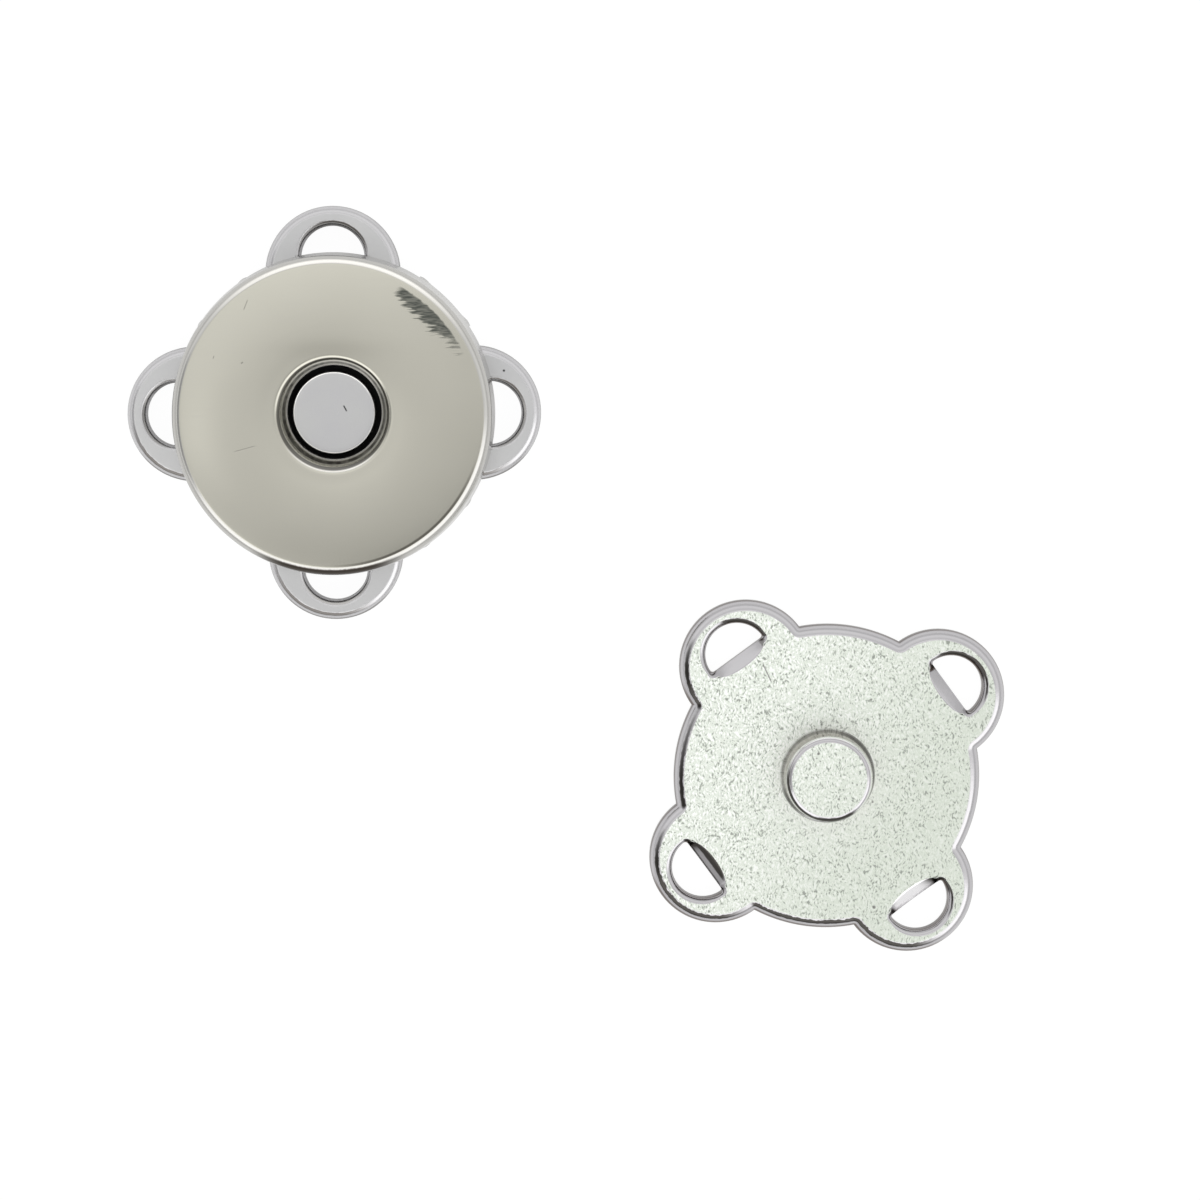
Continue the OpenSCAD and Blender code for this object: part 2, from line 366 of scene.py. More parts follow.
def build_cap():
    steps = 288
    bm = bmesh.new()
    profile = cap_profile()
    rings = turned(list(reversed(profile)), steps)
    for ring in rings:
        for i, (x, y, z) in enumerate(ring):
            r = math.hypot(x, y)
            deep = min(1.0, max(0.0, (2.85 - r) / 0.7)) if z > LIP_END - 0.1 else 0.0
            ring[i] = (x + LIP_ASIDE[0] * deep, y + LIP_ASIDE[1] * deep, z)
    rows = add_rings(bm, rings)
    tab = tab_profile()
    first, last = 26, 46
    for quarter in range(4):
        edge = [rows[0][(quarter * 72 + i) % steps] for i in range(first, last + 1)]
        for k, (radius, height) in enumerate(tab[1:], 1):
            row = []
            for i in range(first, last + 1):
                a = 2 * math.pi * (quarter * 72 + i) / steps
                side = abs(2 * (i - first) / (last - first) - 1)
                lump = 0.07 * math.exp(-((side - 0.86) / 0.16) ** 2) * math.exp(-((height - 0.5) / 0.28) ** 2)
                row.append(bm.verts.new(Vector(((radius + lump) * math.cos(a), (radius + lump) * math.sin(a), height)) * MM))
            for i in range(len(row) - 1):
                bm.faces.new((edge[i], edge[i + 1], row[i + 1], row[i]))
            edge = row
    bmesh.ops.recalc_face_normals(bm, faces=bm.faces)
    if sum(f.normal.z for f in bm.faces if f.calc_center_median().z > 0.9 * CAP_TOP * MM) < 0:
        bmesh.ops.reverse_faces(bm, faces=bm.faces)
    skin = bpy.data.meshes.new("cap_skin")
    bm.to_mesh(skin)
    bm.free()
    holder = bpy.data.objects.new("cap_skin", skin)
    bpy.context.scene.collection.objects.link(holder)
    thick = holder.modifiers.new("sheet", "SOLIDIFY")
    thick.thickness = SHEET * MM
    thick.offset = -1
    thick.use_even_offset = True
    soft = holder.modifiers.new("cut_edges", "BEVEL")
    soft.width = 0.04 * MM
    soft.segments = 2
    soft.limit_method = "ANGLE"
    soft.angle_limit = math.radians(60)
    evaluated = holder.evaluated_get(bpy.context.evaluated_depsgraph_get())
    out = bmesh.new()
    out.from_mesh(evaluated.to_mesh())
    bpy.data.objects.remove(holder)
    bpy.data.meshes.remove(skin)
    return finish_piece(out, "cap_shell", ["magnet_cap"])


cap_shell = build_cap()

# %% [markdown]
# ## The pole and the stud
# Both are headed rivets. The pole's rim is lightly rounded; the stud's top edge is rounded
# well over, so that it finds the socket. The stud has a small step round its foot, and the fine
# dark line round its foot is painted shade on the plate, heaviest on the right and the front.
# %% Build the rivets
def build_rivet(name, node, profile, steps, at=(0.0, 0.0), aside=(0.0, 0.0), aside_from=0.0):
    """A turned rivet; what lies above aside_from stands a little off the middle."""
    bm = bmesh.new()
    rings = turned(profile, steps, at)
    for ring in rings:
        if ring[0][2] >= aside_from:
            ring[:] = [(x + aside[0], y + aside[1], z) for x, y, z in ring]
    rows = add_rings(bm, rings)
    for row, ring in ((rows[0], rings[0]), (rows[-1], rings[-1])):
        middle = [sum(p[k] for p in ring) / len(ring) for k in range(3)]
        centre = bm.verts.new(Vector(middle) * MM)
        for i in range(steps):
            bm.faces.new((row[i], row[(i + 1) % steps], centre))
    return finish_piece(bm, name, [node])


pole_rim = 0.11
pole_profile = [(1.5, 0.0), (2.1, 0.0), (2.2, 0.08), (2.2, 0.28), (2.13, PLATE_LOW), (1.2, PLATE_LOW),
                (1.2, PLATE_LOW + PLATE), (POLE_R, PLATE_LOW + PLATE), (POLE_R, 1.5)]
pole_profile += arc(POLE_R - pole_rim, POLE_TOP - pole_rim, pole_rim, 0, 90, 10)
pole_profile += [(1.5, POLE_TOP), (1.2, POLE_TOP), (0.9, POLE_TOP), (0.5, POLE_TOP), (0.2, POLE_TOP)]
POLE_ASIDE = (0.05, 0.09)
pole = build_rivet("pole", "pole_rivet", pole_profile, 144, aside=POLE_ASIDE, aside_from=PLATE_LOW + PLATE + 0.1)

STUD_TURN_R = 0.3
stud_side = math.atan2(STUD_TOP - PLATE, STUD_R - STUD_TOP_R)
stud_level = STUD_TURN_R * math.tan(stud_side / 2)
stud_profile = [(0.8, 0.0), (1.58, 0.0), (1.2, 0.3), (1.2, PLATE), (STUD_R - 0.08, PLATE), (STUD_R - 0.08, PLATE + 0.04),
                (STUD_R - 0.03, PLATE + 0.06), (STUD_R - 0.015, PLATE + 0.11)]
for i in range(20):
    lean = stud_side - (stud_side - math.radians(CREASE)) * i / 19
    stud_profile.append((STUD_TOP_R - stud_level + STUD_TURN_R * math.sin(lean),
                         STUD_TOP - STUD_TURN_R * (math.cos(math.radians(CREASE)) - math.cos(lean))))
stud_flat_r = stud_profile[-1][0]
stud_profile += [(stud_flat_r - FLAT_RIM, STUD_TOP), (1.0, STUD_TOP), (0.6, STUD_TOP), (0.2, STUD_TOP)]
STUD_ASIDE = (0.0, 0.10)
stud_head = build_rivet("stud_head", "stud", stud_profile, 144, STUD_AT, STUD_ASIDE, PLATE + 0.001)

# %% [markdown]
# ## Writing finishes as sums
# Finishes are built from noise and from the shape itself. A small class lets the shader maths
# read like ordinary sums: each operator adds one Math node.
# %% Shader helper
class Field:
    """A number that varies over a surface: an output socket of a material's nodes."""

    def __init__(self, tree, socket):
        self.tree = tree
        self.socket = socket

    def math(self, kind, *others):
        node = self.tree.nodes.new("ShaderNodeMath")
        node.operation = kind
        for slot_in, value in zip(node.inputs, (self, *others)):
            if isinstance(value, Field):
                self.tree.links.new(value.socket, slot_in)
            else:
                slot_in.default_value = value
        return Field(self.tree, node.outputs[0])

    def flipped(self, kind, other):
        node = self.tree.nodes.new("ShaderNodeMath")
        node.operation = kind
        node.inputs[0].default_value = other
        self.tree.links.new(self.socket, node.inputs[1])
        return Field(self.tree, node.outputs[0])

    def __add__(self, other):
        return self.math("ADD", other)

    __radd__ = __add__

    def __sub__(self, other):
        return self.math("SUBTRACT", other)

    def __rsub__(self, other):
        return self.flipped("SUBTRACT", other)

    def __mul__(self, other):
        return self.math("MULTIPLY", other)

    __rmul__ = __mul__

    def __truediv__(self, other):
        return self.math("DIVIDE", other)

    def __pow__(self, other):
        return self.math("POWER", other)

    def clamp(self):
        return self.math("MAXIMUM", 0.0).math("MINIMUM", 1.0)

    def ramp(self, low, high):
        """0 below low, 1 above high, smooth between."""
        t = ((self - low) / (high - low)).clamp()
        return t * t * (3.0 - 2.0 * t)


class Finish:
    """One material under construction."""

    def __init__(self, name):
        self.material = bpy.data.materials.new(name)
        self.material.use_nodes = True
        self.tree = self.material.node_tree
        self.tree.nodes.clear()
        self.shader = self.add("ShaderNodeBsdfPrincipled")
        out = self.add("ShaderNodeOutputMaterial")
        self.tree.links.new(self.shader.outputs[0], out.inputs["Surface"])

    def add(self, kind, settings=None, **inputs):
        node = self.tree.nodes.new(kind)
        for key, value in (settings or {}).items():
            setattr(node, key, value)
        for key, value in inputs.items():
            self.put(node, key.replace("_", " "), value)
        return node

    def put(self, node, key, value):
        slot_in = node.inputs[key]
        if isinstance(value, Field):
            self.tree.links.new(value.socket, slot_in)
        elif isinstance(value, bpy.types.NodeSocket):
            self.tree.links.new(value, slot_in)
        else:
            slot_in.default_value = value

    def set(self, **values):
        for key, value in values.items():
            self.put(self.shader, key.replace("_", " "), value)

    def field(self, socket):
        return Field(self.tree, socket)

    def place(self, offset=(0, 0, 0), turn=0.0, scale=(1, 1, 1)):
        """Where a point is, in millimetres in the row's frame, moved, turned and stretched."""
        geometry = self.add("ShaderNodeTexCoord")
        scaled = self.add("ShaderNodeVectorMath", {"operation": "SCALE"})
        self.tree.links.new(geometry.outputs["Object"], scaled.inputs[0])
        scaled.inputs["Scale"].default_value = 1000.0
        mapping = self.add("ShaderNodeMapping", {"vector_type": "TEXTURE"})
        self.tree.links.new(scaled.outputs[0], mapping.inputs["Vector"])
        mapping.inputs["Location"].default_value = (*offset,)
        mapping.inputs["Rotation"].default_value = (0, 0, turn)
        mapping.inputs["Scale"].default_value = scale
        return mapping.outputs[0]

    def xyz(self, vector):
        node = self.add("ShaderNodeSeparateXYZ")
        self.tree.links.new(vector, node.inputs[0])
        return [self.field(o) for o in node.outputs]

    def facing_up(self):
        geometry = self.add("ShaderNodeNewGeometry")
        return self.xyz(geometry.outputs["True Normal"])[2]

    def smooth_normal(self):
        geometry = self.add("ShaderNodeNewGeometry")
        return self.xyz(geometry.outputs["Normal"])

    def smooth_up(self):
        return self.smooth_normal()[2]

    def leaning(self, azimuth):
        """1 where the surface leans that way on the table, in degrees, -1 where the other way."""
        nx, ny, _ = self.smooth_normal()
        way = math.radians(azimuth)
        return (nx * math.cos(way) + ny * math.sin(way)) / ((nx * nx + ny * ny).math("SQRT") + 0.01)

    def noise(self, vector, size, detail=2.0, rough=0.5):
        """Soft noise whose blobs are about size millimetres across, from 0 to 1."""
        node = self.add("ShaderNodeTexNoise", Vector=vector, Scale=1.0 / size, Detail=detail, Roughness=rough)
        return self.field(node.outputs["Fac"])

    def cells(self, vector, size, randomness=1.0):
        node = self.add("ShaderNodeTexVoronoi", {"feature": "F1"}, Vector=vector, Scale=1.0 / size, Randomness=randomness)
        return self.field(node.outputs["Distance"])

    def mix(self, share, low, high):
        node = self.add("ShaderNodeMix", {"data_type": "RGBA"})
        for index, value in ((0, share), (6, low), (7, high)):
            if isinstance(value, Field):
                self.tree.links.new(value.socket, node.inputs[index])
            elif isinstance(value, bpy.types.NodeSocket):
                self.tree.links.new(value, node.inputs[index])
            elif index == 0:
                node.inputs[index].default_value = value
            else:
                node.inputs[index].default_value = (*value, 1.0)
        return node.outputs[2]

    def bump(self, height, strength, depth_mm, base=None):
        node = self.add("ShaderNodeBump", Strength=strength, Distance=depth_mm * MM, Height=height)
        if base is not None:
            self.tree.links.new(base, node.inputs["Normal"])
        return node.outputs[0]


print("shader helper ready")

# %% [markdown]
# ## The cap's finish
# Nickel over brass, polished and then handled: a warm grey mirror that is a little blurred,
# with faint streaks from the polishing wheel, a few hairline scratches, and a patch of fine
# cross scuffs close to the shoulder.
# The colour also carries painted shade and painted highlights on the shoulder and the lip, and a painted shade patch
# just above the socket.
# %% Cap finish
def scratch(finish, at, angle, length, width, bend=0.0):
    """1 on a thin line of that length and width in millimetres, 0 off it."""
    along, across, _ = finish.xyz(finish.place(offset=(at[0], at[1], 0), turn=math.radians(angle)))
    across = across + along * along * bend
    inside = 1.0 - (along.math("ABSOLUTE")).ramp(length * 0.3, length * 0.5)
    return inside * (1.0 - across.math("ABSOLUTE").ramp(width * 0.2, width))


def cap_finish():
    f = Finish("polished_nickel")
    here = f.place()
    streak = f.noise(f.place(scale=(6.0, 0.12, 1.0)), 0.5, 3.0)
    cloud = f.noise(here, 3.0, 3.0)
    fine = f.noise(here, 0.10, 2.0)
    x, y, z = f.xyz(here)
    radius = (x * x + y * y).math("SQRT")
    along, across, _ = f.xyz(f.place(offset=(4.62, 4.30, 0), turn=math.radians(-46)))
    comb = f.noise(f.place(scale=(0.75, 0.06, 1.0)), 1.0, 2.0)
    inwards = 6.29 - radius + (f.noise(here, 0.25, 3.0) - 0.5) * 0.16
    reach = 0.68 - ((along + 0.45) / 2.25) * ((along + 0.45) / 2.25) * 0.62 + (comb - 0.5) * (0.9 + along.ramp(-0.5, 1.0) * 0.7)
    scuff = across.ramp(-2.0, -1.5) * inwards.ramp(-0.03, 0.06) * (reach - inwards).ramp(-0.04, 0.16) * (1.0 - (along + 0.05).math("ABSOLUTE").ramp(1.75, 2.05))
    scuff = scuff * (0.74 + f.noise(f.place(scale=(0.5, 0.07, 1.0)), 0.9, 2.0).ramp(0.35, 0.62) * 0.26) * (1.0 - along.ramp(0.5, 1.9) * 0.45)
    lines = scratch(f, (-3.61, 4.78), 68, 0.55, 0.035) + scratch(f, (-3.72, -1.37), 15, 1.1, 0.022)
    lines = (lines + scratch(f, (-3.79, 2.31), 40, 0.14, 0.05) + scratch(f, (-5.01, 2.55), 70, 0.16, 0.03)).clamp()
    tone = f.mix(cloud, (0.484, 0.472, 0.410), (0.510, 0.499, 0.436))
    tone = f.mix(streak.ramp(0.5, 0.75) * 0.10, tone, (0.44, 0.42, 0.40))
    tone = f.mix(scuff * 0.95, tone, (0.055, 0.062, 0.055))
    tone = f.mix(lines * 0.6, tone, (0.20, 0.20, 0.17))
    # Painted shade: a soft darker patch on the face just above the socket.
    tone = f.mix(((x * x * 0.20 + (y - 2.85) * (y - 2.85) * 5.0) * -1.0).math("EXPONENT") * 0.45, tone, (0.40, 0.388, 0.335))
    up = f.smooth_up()
    tone = f.mix((1.0 - up.ramp(0.955, 0.988)) * radius.ramp(5.0, 6.0) * 0.7, tone, (0.50, 0.495, 0.49))
    # Painted shade: the shoulder's slopes that face the front, and a thin band at the top of the shoulder on the lower
    # right, are painted near black in place of dark reflections.
    front_shade = f.leaning(268).ramp(0.84, 0.95) * (1.0 - (up + (fine - 0.5) * 0.05).ramp(0.87, 0.95)) * up.ramp(0.25, 0.45) * radius.ramp(5.0, 6.0)
    rim = f.leaning(305).ramp(0.72, 0.92) * (1.0 - up.ramp(0.9905, 0.9925)) * up.ramp(0.972, 0.982) * radius.ramp(5.0, 6.0)
    tone = f.mix((front_shade * 0.95 + rim * 0.7).clamp(), tone, (0.035, 0.027, 0.02))
    # Painted highlight: slopes that face the back, on the lip and on the shoulder, are painted near white.
    back_highlight = f.leaning(86).ramp(0.50, 0.95) * (1.0 - up.ramp(0.95, 0.98)) * up.ramp(0.70, 0.82)
    tone = f.mix(back_highlight * 0.9, tone, (0.95, 0.93, 0.88))
    # Painted shade on the lip: a dark line near the top of the funnel and a dark band lower down, made uneven by this
    # noise.
    band_noise = f.noise(f.place(scale=(0.3, 0.3, 6.0)), 1.0, 3.0)
    depth = CAP_TOP - z
    turned_in = 1.0 - radius.ramp(2.70, 2.75)
    band = depth.ramp(0.07, 0.10) * (1.0 - depth.ramp(0.16, 0.20)) * 0.85 + (depth.ramp(0.30, 0.35) * (1.0 - depth.ramp(0.50, 0.58))) * (0.62 + band_noise.ramp(0.3, 0.7) * 0.33)
    tone = f.mix(turned_in * band, tone, (0.03, 0.028, 0.024))
    # Painted highlight: a near white line at the foot of the funnel.
    tone = f.mix(turned_in * depth.ramp(0.56, 0.62) * 0.8, tone, (0.95, 0.94, 0.92))
    rough = 0.14 + streak * 0.04 + fine * 0.03 + scuff * 0.15
    height = streak * 0.20 + fine * 0.12 - scuff * 0.5 - lines * 1.2
    f.set(Base_Color=tone, Metallic=1.0, Roughness=rough, Normal=f.bump(height, 0.25, 0.004))
    return f.material


cap_shell.data.materials.clear()
cap_shell.data.materials.append(cap_finish())

# %% [markdown]
# ## Satin nickel on the magnet half's ears and the pole
# The base plate is plated and tumbled, not polished: a cooler, even grey. Its edges and the
# holes' edges were rubbed brighter. On the magnet half's plate, painted shade darkens the edges
# that face the front and the steep walls, and blackens the face inside the socket. The pole has
# the same plating, smoother, and its rounded rim is painted near white as a highlight.
# %% Satin finishes
def dot(finish, at, size):
    """1 in a small dark pit, 0 outside it."""
    x, y, _ = finish.xyz(finish.place(offset=(at[0], at[1], 0)))
    return 1.0 - (x * x + y * y).math("SQRT").ramp(size * 0.4, size)


def satin_finish(name, low_tone, high_tone, edge_tone, roughness, marks, with_painted_shade=False):
    f = Finish(name)
    here = f.place()
    x, y, z = f.xyz(here)
    cloud = f.noise(here, 1.6, 3.0)
    fine = f.noise(here, 0.07, 3.0)
    crinkle = f.noise(f.place(scale=(1.0, 1.0, 2.0)), 0.35, 3.0)
    up = f.smooth_up()
    ragged = up + (crinkle - 0.5) * 0.05
    edge = 1.0 - ragged.ramp(0.965, 0.992)
    tone = f.mix(cloud, low_tone, high_tone)
    tone = f.mix(edge * 0.6, tone, edge_tone)
    if with_painted_shade:
        # Painted shade: dark lines on edges that face the lower left and front, and a dark outline on the steep walls,
        # heavier at the front.
        line = f.leaning(248).ramp(0.35, 0.9) * (1.0 - ragged.ramp(0.962, 0.98)) * ragged.ramp(0.79, 0.85)
        outline = (1.0 - up.ramp(0.22, 0.42)) * 0.6 + f.leaning(268).ramp(0.5, 0.8) * (1.0 - up.ramp(0.50, 0.65)) * 0.8
        tone = f.mix((line + outline).clamp() * 0.85, tone, (0.07, 0.06, 0.05))
    tone = f.mix(marks(f), tone, (0.03, 0.03, 0.03))
    rough = roughness + fine * 0.08 - edge * (roughness - 0.20)
    metal = 1.0
    if with_painted_shade:
        # Painted shade: the plate's face inside the socket, seen only down the gap round the pole, is painted black
        # and matt.
        socket_floor_shade = (1.0 - (x * x + y * y).math("SQRT").ramp(2.9, 3.1)) * f.facing_up().ramp(0.2, 0.6)
        tone = f.mix(socket_floor_shade, tone, (0.006, 0.006, 0.006))
        rough = rough + socket_floor_shade * 0.5
        metal = 1.0 - socket_floor_shade
    f.set(Base_Color=tone, Metallic=metal, Roughness=rough, Normal=f.bump(fine * 0.35 + crinkle * edge * 2.5, 0.4, 0.006))
    return f.material


magnet_ears.data.materials.append(
    satin_finish("satin_nickel", (0.505, 0.505, 0.51), (0.58, 0.58, 0.575), (0.57, 0.56, 0.575), 0.32, lambda f: dot(f, (7.39, 1.84), 0.07), True)
)
# Painted highlight: the pole's rounded rim is painted near white.
pole.data.materials.append(
    satin_finish("pole_nickel", (0.505, 0.50, 0.515), (0.54, 0.545, 0.53), (1.0, 1.0, 1.0), 0.25, lambda f: scratch(f, (0.53, 0.28), -62, 0.34, 0.045))
)

# %% [markdown]
# ## Barrel plating on the stud half
# Cheap small stampings are plated in a rotating barrel. The flat faces come out almost white
# and matt, with fine dark pits all over; the edges, rubbed by the other pieces in the barrel,
# come out smooth and grey. The finish follows the slope of the metal.
# The colour also carries painted shade and painted highlights on the walls and edges, and the flat face is painted
# darker towards the lower right.
# %% Barrel finish
def barrel_finish(name, marks, steep_shade_tone, steep_from, line_at, near_from, near_share, outline_from, wall_highlight):
    f = Finish(name)
    here = f.place()
    up = f.smooth_up()
    flat = up.ramp(0.984, 0.996)
    crinkle = f.noise(here, 0.22, 3.0)
    ragged = up + (crinkle - 0.5) * 0.10
    warped = f.add("ShaderNodeVectorMath", {"operation": "ADD"})
    drift = f.add("ShaderNodeVectorMath", {"operation": "SCALE"}, Scale=0.45)
    f.tree.links.new(f.add("ShaderNodeTexNoise", Vector=here, Scale=1.6, Detail=1.0).outputs["Color"], drift.inputs[0])
    f.tree.links.new(here, warped.inputs[0])
    f.tree.links.new(drift.outputs[0], warped.inputs[1])
    worm = f.add("ShaderNodeMapping", {"vector_type": "TEXTURE"}, Vector=warped.outputs[0], Scale=(0.8, 1.5, 1.0))
    fleck = f.noise(worm.outputs[0], 0.095, 2.0, 0.5)
    grain = f.noise(here, 0.05, 2.0, 0.6)
    size = f.noise(here, 0.8, 2.0)
    dark = (fleck + size * 0.14 + (f.noise(here, 0.33, 1.0) - 0.5) * 0.22).ramp(0.635, 0.735)
    pale = 1.0 - fleck.ramp(0.36, 0.48)
    cloud = f.noise(here, 2.6, 2.0)
    face = f.mix(grain.ramp(0.3, 0.7), (0.63, 0.675, 0.60), (0.83, 0.87, 0.80))
    face = f.mix(pale * 0.80, face, (1.0, 1.0, 0.99))
    x, y, _ = f.xyz(here)
    # Painted shade: the flat face is painted darker towards the lower right.
    face = f.mix(((x - STUD_AT[0]) * 0.85 - (y - STUD_AT[1]) * 0.5).ramp(-5.0, 5.5) * 0.6, face, (0.54, 0.585, 0.505))
    face = f.mix(dark * 0.85, face, (0.24, 0.26, 0.23))
    # Painted light: a pale ring on the plate just outside the stud's foot, fading outwards, lightens the shade there.
    from_middle = ((x - STUD_AT[0]) * (x - STUD_AT[0]) + (y - STUD_AT[1]) * (y - STUD_AT[1])).math("SQRT")
    bright = from_middle.ramp(1.95, 2.05) * ((from_middle - 2.05) * -2.6).math("EXPONENT")
    face = f.mix(bright.clamp() * 0.30, face, (1.0, 1.0, 0.96))
    # For the plate, the marks also hold the painted shade round the stud's foot.
    face = f.mix(marks(f) * 0.8, face, (0.12, 0.12, 0.11))
    face = f.mix(cloud.ramp(0.35, 0.75) * 0.12, face, (0.68, 0.72, 0.65))
    edge = f.mix(cloud, (0.475, 0.465, 0.48), (0.53, 0.52, 0.53))
    # Painted shade: the steep walls are painted darker.
    edge = f.mix(1.0 - up.ramp(*steep_from), edge, steep_shade_tone)
    # Painted highlight: on the stud, a near white band where the rounded top turns into the wall.
    edge = f.mix(up.ramp(0.17, 0.25) * (1.0 - up.ramp(0.62, 0.75)) * wall_highlight, edge, (0.95, 0.94, 0.94))
    px, py, _ = f.xyz(f.place(offset=(*STUD_AT, 0), turn=STUD_TURN))
    px, py = px.math("ABSOLUTE"), py.math("ABSOLUTE")
    from_hole = px.math("MAXIMUM", py) - HOLE_AT
    from_hole = (from_hole * from_hole + px.math("MINIMUM", py) * px.math("MINIMUM", py)).math("SQRT")
    hole = 1.0 - from_hole.ramp(1.75, 1.85)
    # Painted shade: dark lines on edges that face the lower left, on the stud's slopes that face the front, and on the
    # holes' arcs and slopes, in place of dark reflections.
    line = f.leaning(228).ramp(0.1, 0.7) * ragged.ramp(line_at[0], line_at[1]) * (1.0 - ragged.ramp(line_at[2], line_at[3]))
    near = f.leaning(280).ramp(0.80, 0.95) * (1.0 - ragged.ramp(*near_from)) * near_share
    arch = hole * f.leaning(262).ramp(0.76, 0.93) * (1.0 - ragged.ramp(0.95, 0.975)) * ragged.ramp(0.45, 0.55)
    straight = px.math("MAXIMUM", py) - FLAT_AT
    on_slope = hole * (1.0 - straight.ramp(0.0, 0.05))
    line = line * (1.0 - on_slope)
    # Painted highlight: the holes' slopes that face the lower right are painted near white.
    edge = f.mix(on_slope * f.leaning(306).ramp(0.90, 0.97) * 0.92, edge, (0.97, 0.96, 0.97))
    slope_at = straight + (crinkle - 0.5) * 0.04
    sill = hole * f.leaning(216).ramp(0.88, 0.96) * (0.35 + 0.65 * (1.0 - slope_at.ramp(-0.30, -0.24)) + 0.5 * slope_at.ramp(-0.10, -0.06))
    edge = f.mix((line + near + arch + sill).clamp() * 0.95, edge, (0.03, 0.027, 0.022))
    # Painted shade: the steepest walls are painted near black, most where they face the front and lower left.
    outline = (1.0 - up.ramp(*outline_from)) * 0.7 + f.leaning(250).ramp(0.5, 0.8) * (1.0 - up.ramp(outline_from[0] + 0.25, outline_from[1] + 0.22)) * 0.85
    edge = f.mix(outline.clamp(), edge, (0.10, 0.075, 0.06))
    tone = f.mix(flat, edge, face)
    rough = 0.13 + flat * (0.24 + grain * 0.1)
    height = flat * (grain * 0.4 - dark * 0.9 + pale * 0.3) + (1.0 - flat) * crinkle * 0.9
    f.set(Base_Color=tone, Metallic=1.0 - flat * 0.25, Roughness=rough, Normal=f.bump(height, 0.5, 0.008))
    return f.material


PLATE_SPECKS = [(23.42, -12.70, 0.07), (23.57, -21.93, 0.10), (23.49, -17.24, 0.07), (25.69, -11.56, 0.08), (26.77, -12.92, 0.06), (21.24, -13.79, 0.07), (21.01, -14.01, 0.06)]


def plate_marks_and_shade(f):
    total = scratch(f, (18.85, -11.5), -64.7, 1.05, 0.045)
    for x, y, size in PLATE_SPECKS:
        total = total + dot(f, (x, y), size)
    # Painted shade: a dark ring on the plate round the stud's foot, heaviest on the right and the front.
    x, y, _ = f.xyz(f.place(offset=(STUD_AT[0] + STUD_ASIDE[0], STUD_AT[1] + STUD_ASIDE[1], 0)))
    radius = (x * x + y * y).math("SQRT")
    foot_shade = 1.0 - (radius - STUD_R).math("ABSOLUTE").ramp(0.02, 0.06)
    right = ((x * 0.97 + y * 0.26) / radius).ramp(0.4, 0.9)
    front = ((x * -0.26 - y * 0.97) / radius).ramp(0.4, 0.8)
    return (total + foot_shade * (0.3 + right + front)).clamp()


def stud_marks(f):
    return (dot(f, (21.0, -14.9), 0.08) + dot(f, (21.9, -16.9), 0.07)).clamp()


stud_ears.data.materials.append(barrel_finish("barrel_plate", plate_marks_and_shade, (0.33, 0.32, 0.33), (0.0, 0.35), (0.80, 0.83, 0.958, 0.978), (0.80, 0.88), 0.0, (0.30, 0.50), 0.0))
stud_head.data.materials.append(barrel_finish("barrel_stud", stud_marks, (0.34, 0.305, 0.275), (0.10, 0.24), (0.30, 0.45, 0.78, 0.88), (0.90, 0.97), 1.0, (-0.2, -0.1), 0.85))

# %% [markdown]
# ## The ring magnet
# Sintered ferrite: matt, black, with a fine grain. It shows only as the dark between the
# pole and the lip, so the CAD solid itself wears the finish.
# %% Ferrite finish
def ferrite_finish():
    f = Finish("ferrite")
    grain = f.noise(f.place(), 0.15, 3.0)
    f.set(Base_Color=f.mix(grain, (0.012, 0.012, 0.013), (0.03, 0.03, 0.032)), Roughness=0.75, Normal=f.bump(grain, 0.4, 0.02))
    return f.material


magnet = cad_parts["ring_magnet"]
magnet.data.materials.clear()
magnet.data.materials.append(ferrite_finish())

# %% [markdown]
# ## The table and the light
# The snap lies on a white ground that shows white to the camera and keeps a little of the
# snap's shadow. The light is soft studio light from above, brighter at the back of the table,
# with a dark rim low down all round, so that rounded metal edges get their dark lines.
# %% Floor
FLOOR_SEEN_WHITE = 0.93
FLOOR_MIRRORED_WHITE = 0.35


def make_floor():
    bm = bmesh.new()
    corners = [bm.verts.new((x * 0.6 + 0.01, y * 0.6, -0.00002)) for x, y in ((-1, -1), (1, -1), (1, 1), (-1, 1))]
    bm.faces.new(corners)
    mesh = bpy.data.meshes.new("floor")
    bm.to_mesh(mesh)
    bm.free()
    floor = bpy.data.objects.new("floor", mesh)
    bpy.context.scene.collection.objects.link(floor)
    material = bpy.data.materials.new("white_ground")
    material.use_nodes = True
    tree = material.node_tree
    tree.nodes.clear()
    paper = tree.nodes.new("ShaderNodeBsdfDiffuse")
    paper.inputs["Color"].default_value = (0.9, 0.9, 0.9, 1)
    glow = tree.nodes.new("ShaderNodeEmission")
    glow.inputs["Strength"].default_value = 1.03
    ray = tree.nodes.new("ShaderNodeLightPath")
    seen = Field(tree, ray.outputs["Is Camera Ray"]) * FLOOR_SEEN_WHITE
    mirrored = Field(tree, ray.outputs["Is Glossy Ray"]) + Field(tree, ray.outputs["Is Transmission Ray"])
    share = (seen + mirrored * FLOOR_MIRRORED_WHITE).clamp()
    both = tree.nodes.new("ShaderNodeMixShader")
    out = tree.nodes.new("ShaderNodeOutputMaterial")
    tree.links.new(share.socket, both.inputs[0])
    tree.links.new(paper.outputs[0], both.inputs[1])
    tree.links.new(glow.outputs[0], both.inputs[2])
    tree.links.new(both.outputs[0], out.inputs["Surface"])
    mesh.materials.append(material)
    return floor


floor = make_floor()

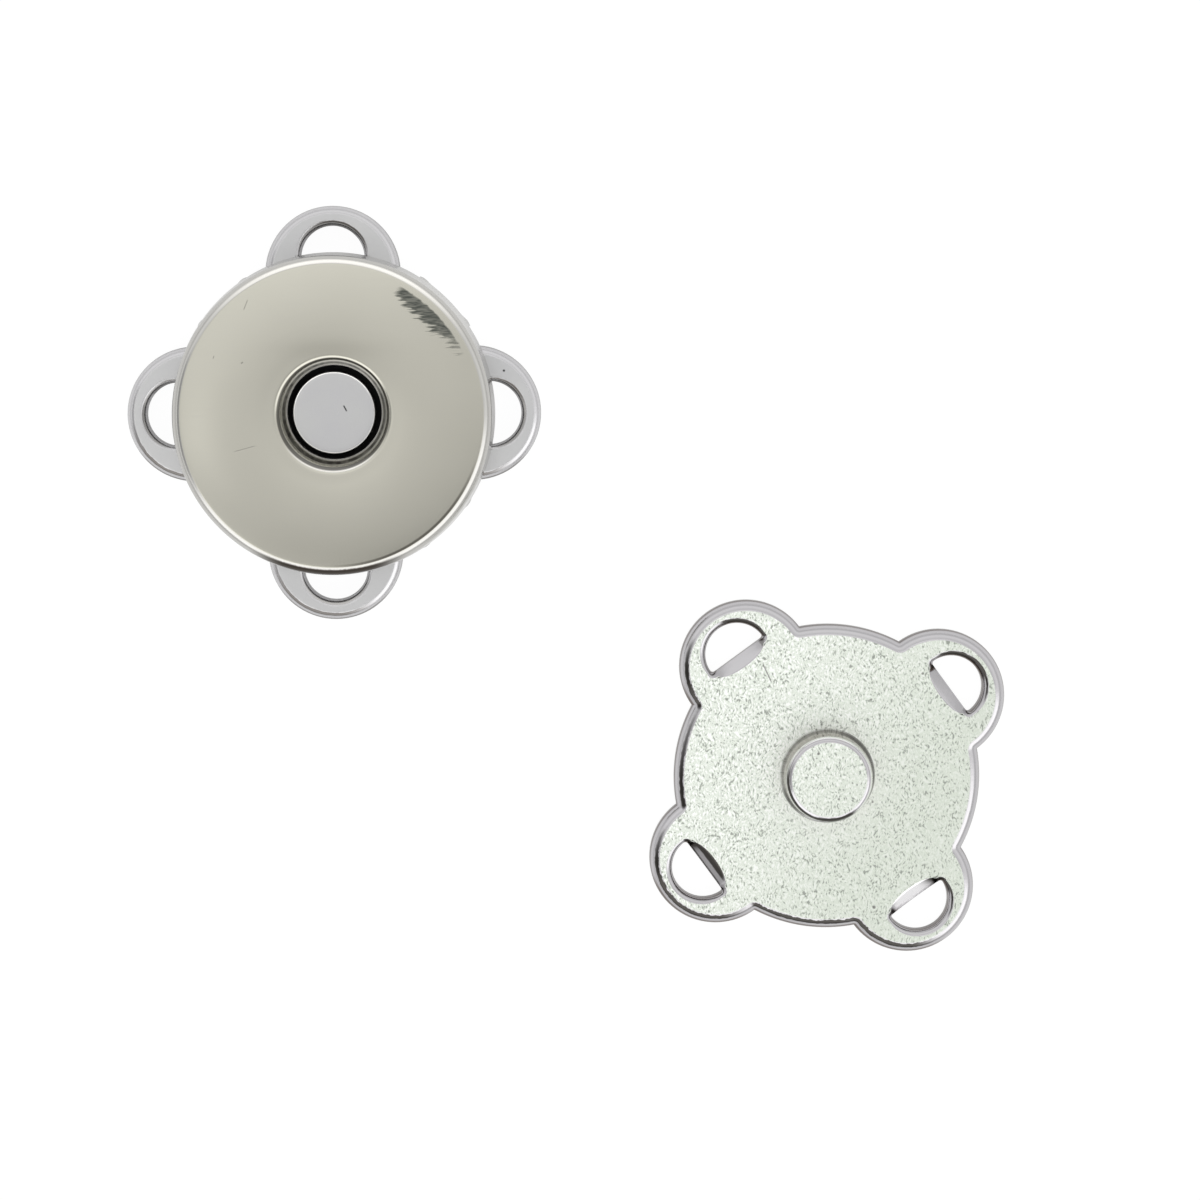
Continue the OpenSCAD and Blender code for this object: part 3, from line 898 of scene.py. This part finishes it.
# %% World light
def make_world():
    world = bpy.data.worlds.new("studio")
    bpy.context.scene.world = world
    world.use_nodes = True
    tree = world.node_tree
    tree.nodes.clear()
    where = tree.nodes.new("ShaderNodeTexCoord")
    split = tree.nodes.new("ShaderNodeSeparateXYZ")
    tree.links.new(where.outputs["Generated"], split.inputs[0])
    x, y, z = (Field(tree, o) for o in split.outputs)
    across = (x * x + y * y).math("SQRT") + 0.001

    def towards(azimuth):
        return (x * math.cos(math.radians(azimuth)) + y * math.sin(math.radians(azimuth))) / across

    def spot(px, py, tight):
        return (((x - px) * (x - px) + (y - py) * (y - py)) * -tight).math("EXPONENT")

    overhead = (1.0 + y * 1.03 - x * 0.28).math("MINIMUM", 1.35).math("MAXIMUM", 0.5)
    overhead = overhead + spot(-0.27, -0.08, 200.0) * 0.34 - spot(0.20, 0.12, 120.0) * 0.14
    walls = 0.86 + z.ramp(0.30, 0.48) * 0.32 - z.ramp(0.60, 0.95) * 0.28
    level = walls + (overhead - walls) * z.ramp(0.86, 0.95)
    level = level * (1.0 - towards(305).ramp(0.70, 0.94) * z.ramp(0.92, 0.935) * (1.0 - z.ramp(0.945, 0.955)) * 0.45)
    level = level + towards(280).ramp(0.20, 0.50) * z.ramp(0.36, 0.46) * (1.0 - z.ramp(0.86, 0.93)) * 0.85
    level = level * (1.0 - towards(185).ramp(0.87, 0.97) * z.ramp(0.50, 0.58) * (1.0 - z.ramp(0.78, 0.84)) * 0.6)
    ray = tree.nodes.new("ShaderNodeLightPath")
    seen = Field(tree, ray.outputs["Is Camera Ray"])
    level = level * (1.0 - seen) + seen
    sky = tree.nodes.new("ShaderNodeBackground")
    sky.inputs["Color"].default_value = (1.0, 1.0, 1.0, 1)
    tree.links.new(level.socket, sky.inputs["Strength"])
    out = tree.nodes.new("ShaderNodeOutputWorld")
    tree.links.new(sky.outputs[0], out.inputs["Surface"])


make_world()

# %% [markdown]
# ## The camera
# The photograph looks down on the halves from about 170 mm, a few degrees off the vertical.
# %% Camera
def make_camera():
    camera_data = bpy.data.cameras.new("camera")
    camera_data.lens = 36 * 3882 / 1200
    camera_data.sensor_width = 36
    camera_data.clip_start = 0.01
    camera_data.clip_end = 5
    camera = bpy.data.objects.new("camera", camera_data)
    bpy.context.scene.collection.objects.link(camera)
    camera.location = Vector((8.88, 7.825, 170.0)) * MM
    tilt = Vector([math.radians(v) for v in (5.417, 0.907, 0.31)])
    camera.rotation_mode = "QUATERNION"
    camera.rotation_quaternion = Quaternion(tilt.normalized(), tilt.length).inverted()
    bpy.context.scene.camera = camera
    return camera


camera = make_camera()
bpy.context.scene.view_settings.view_transform = "Standard"
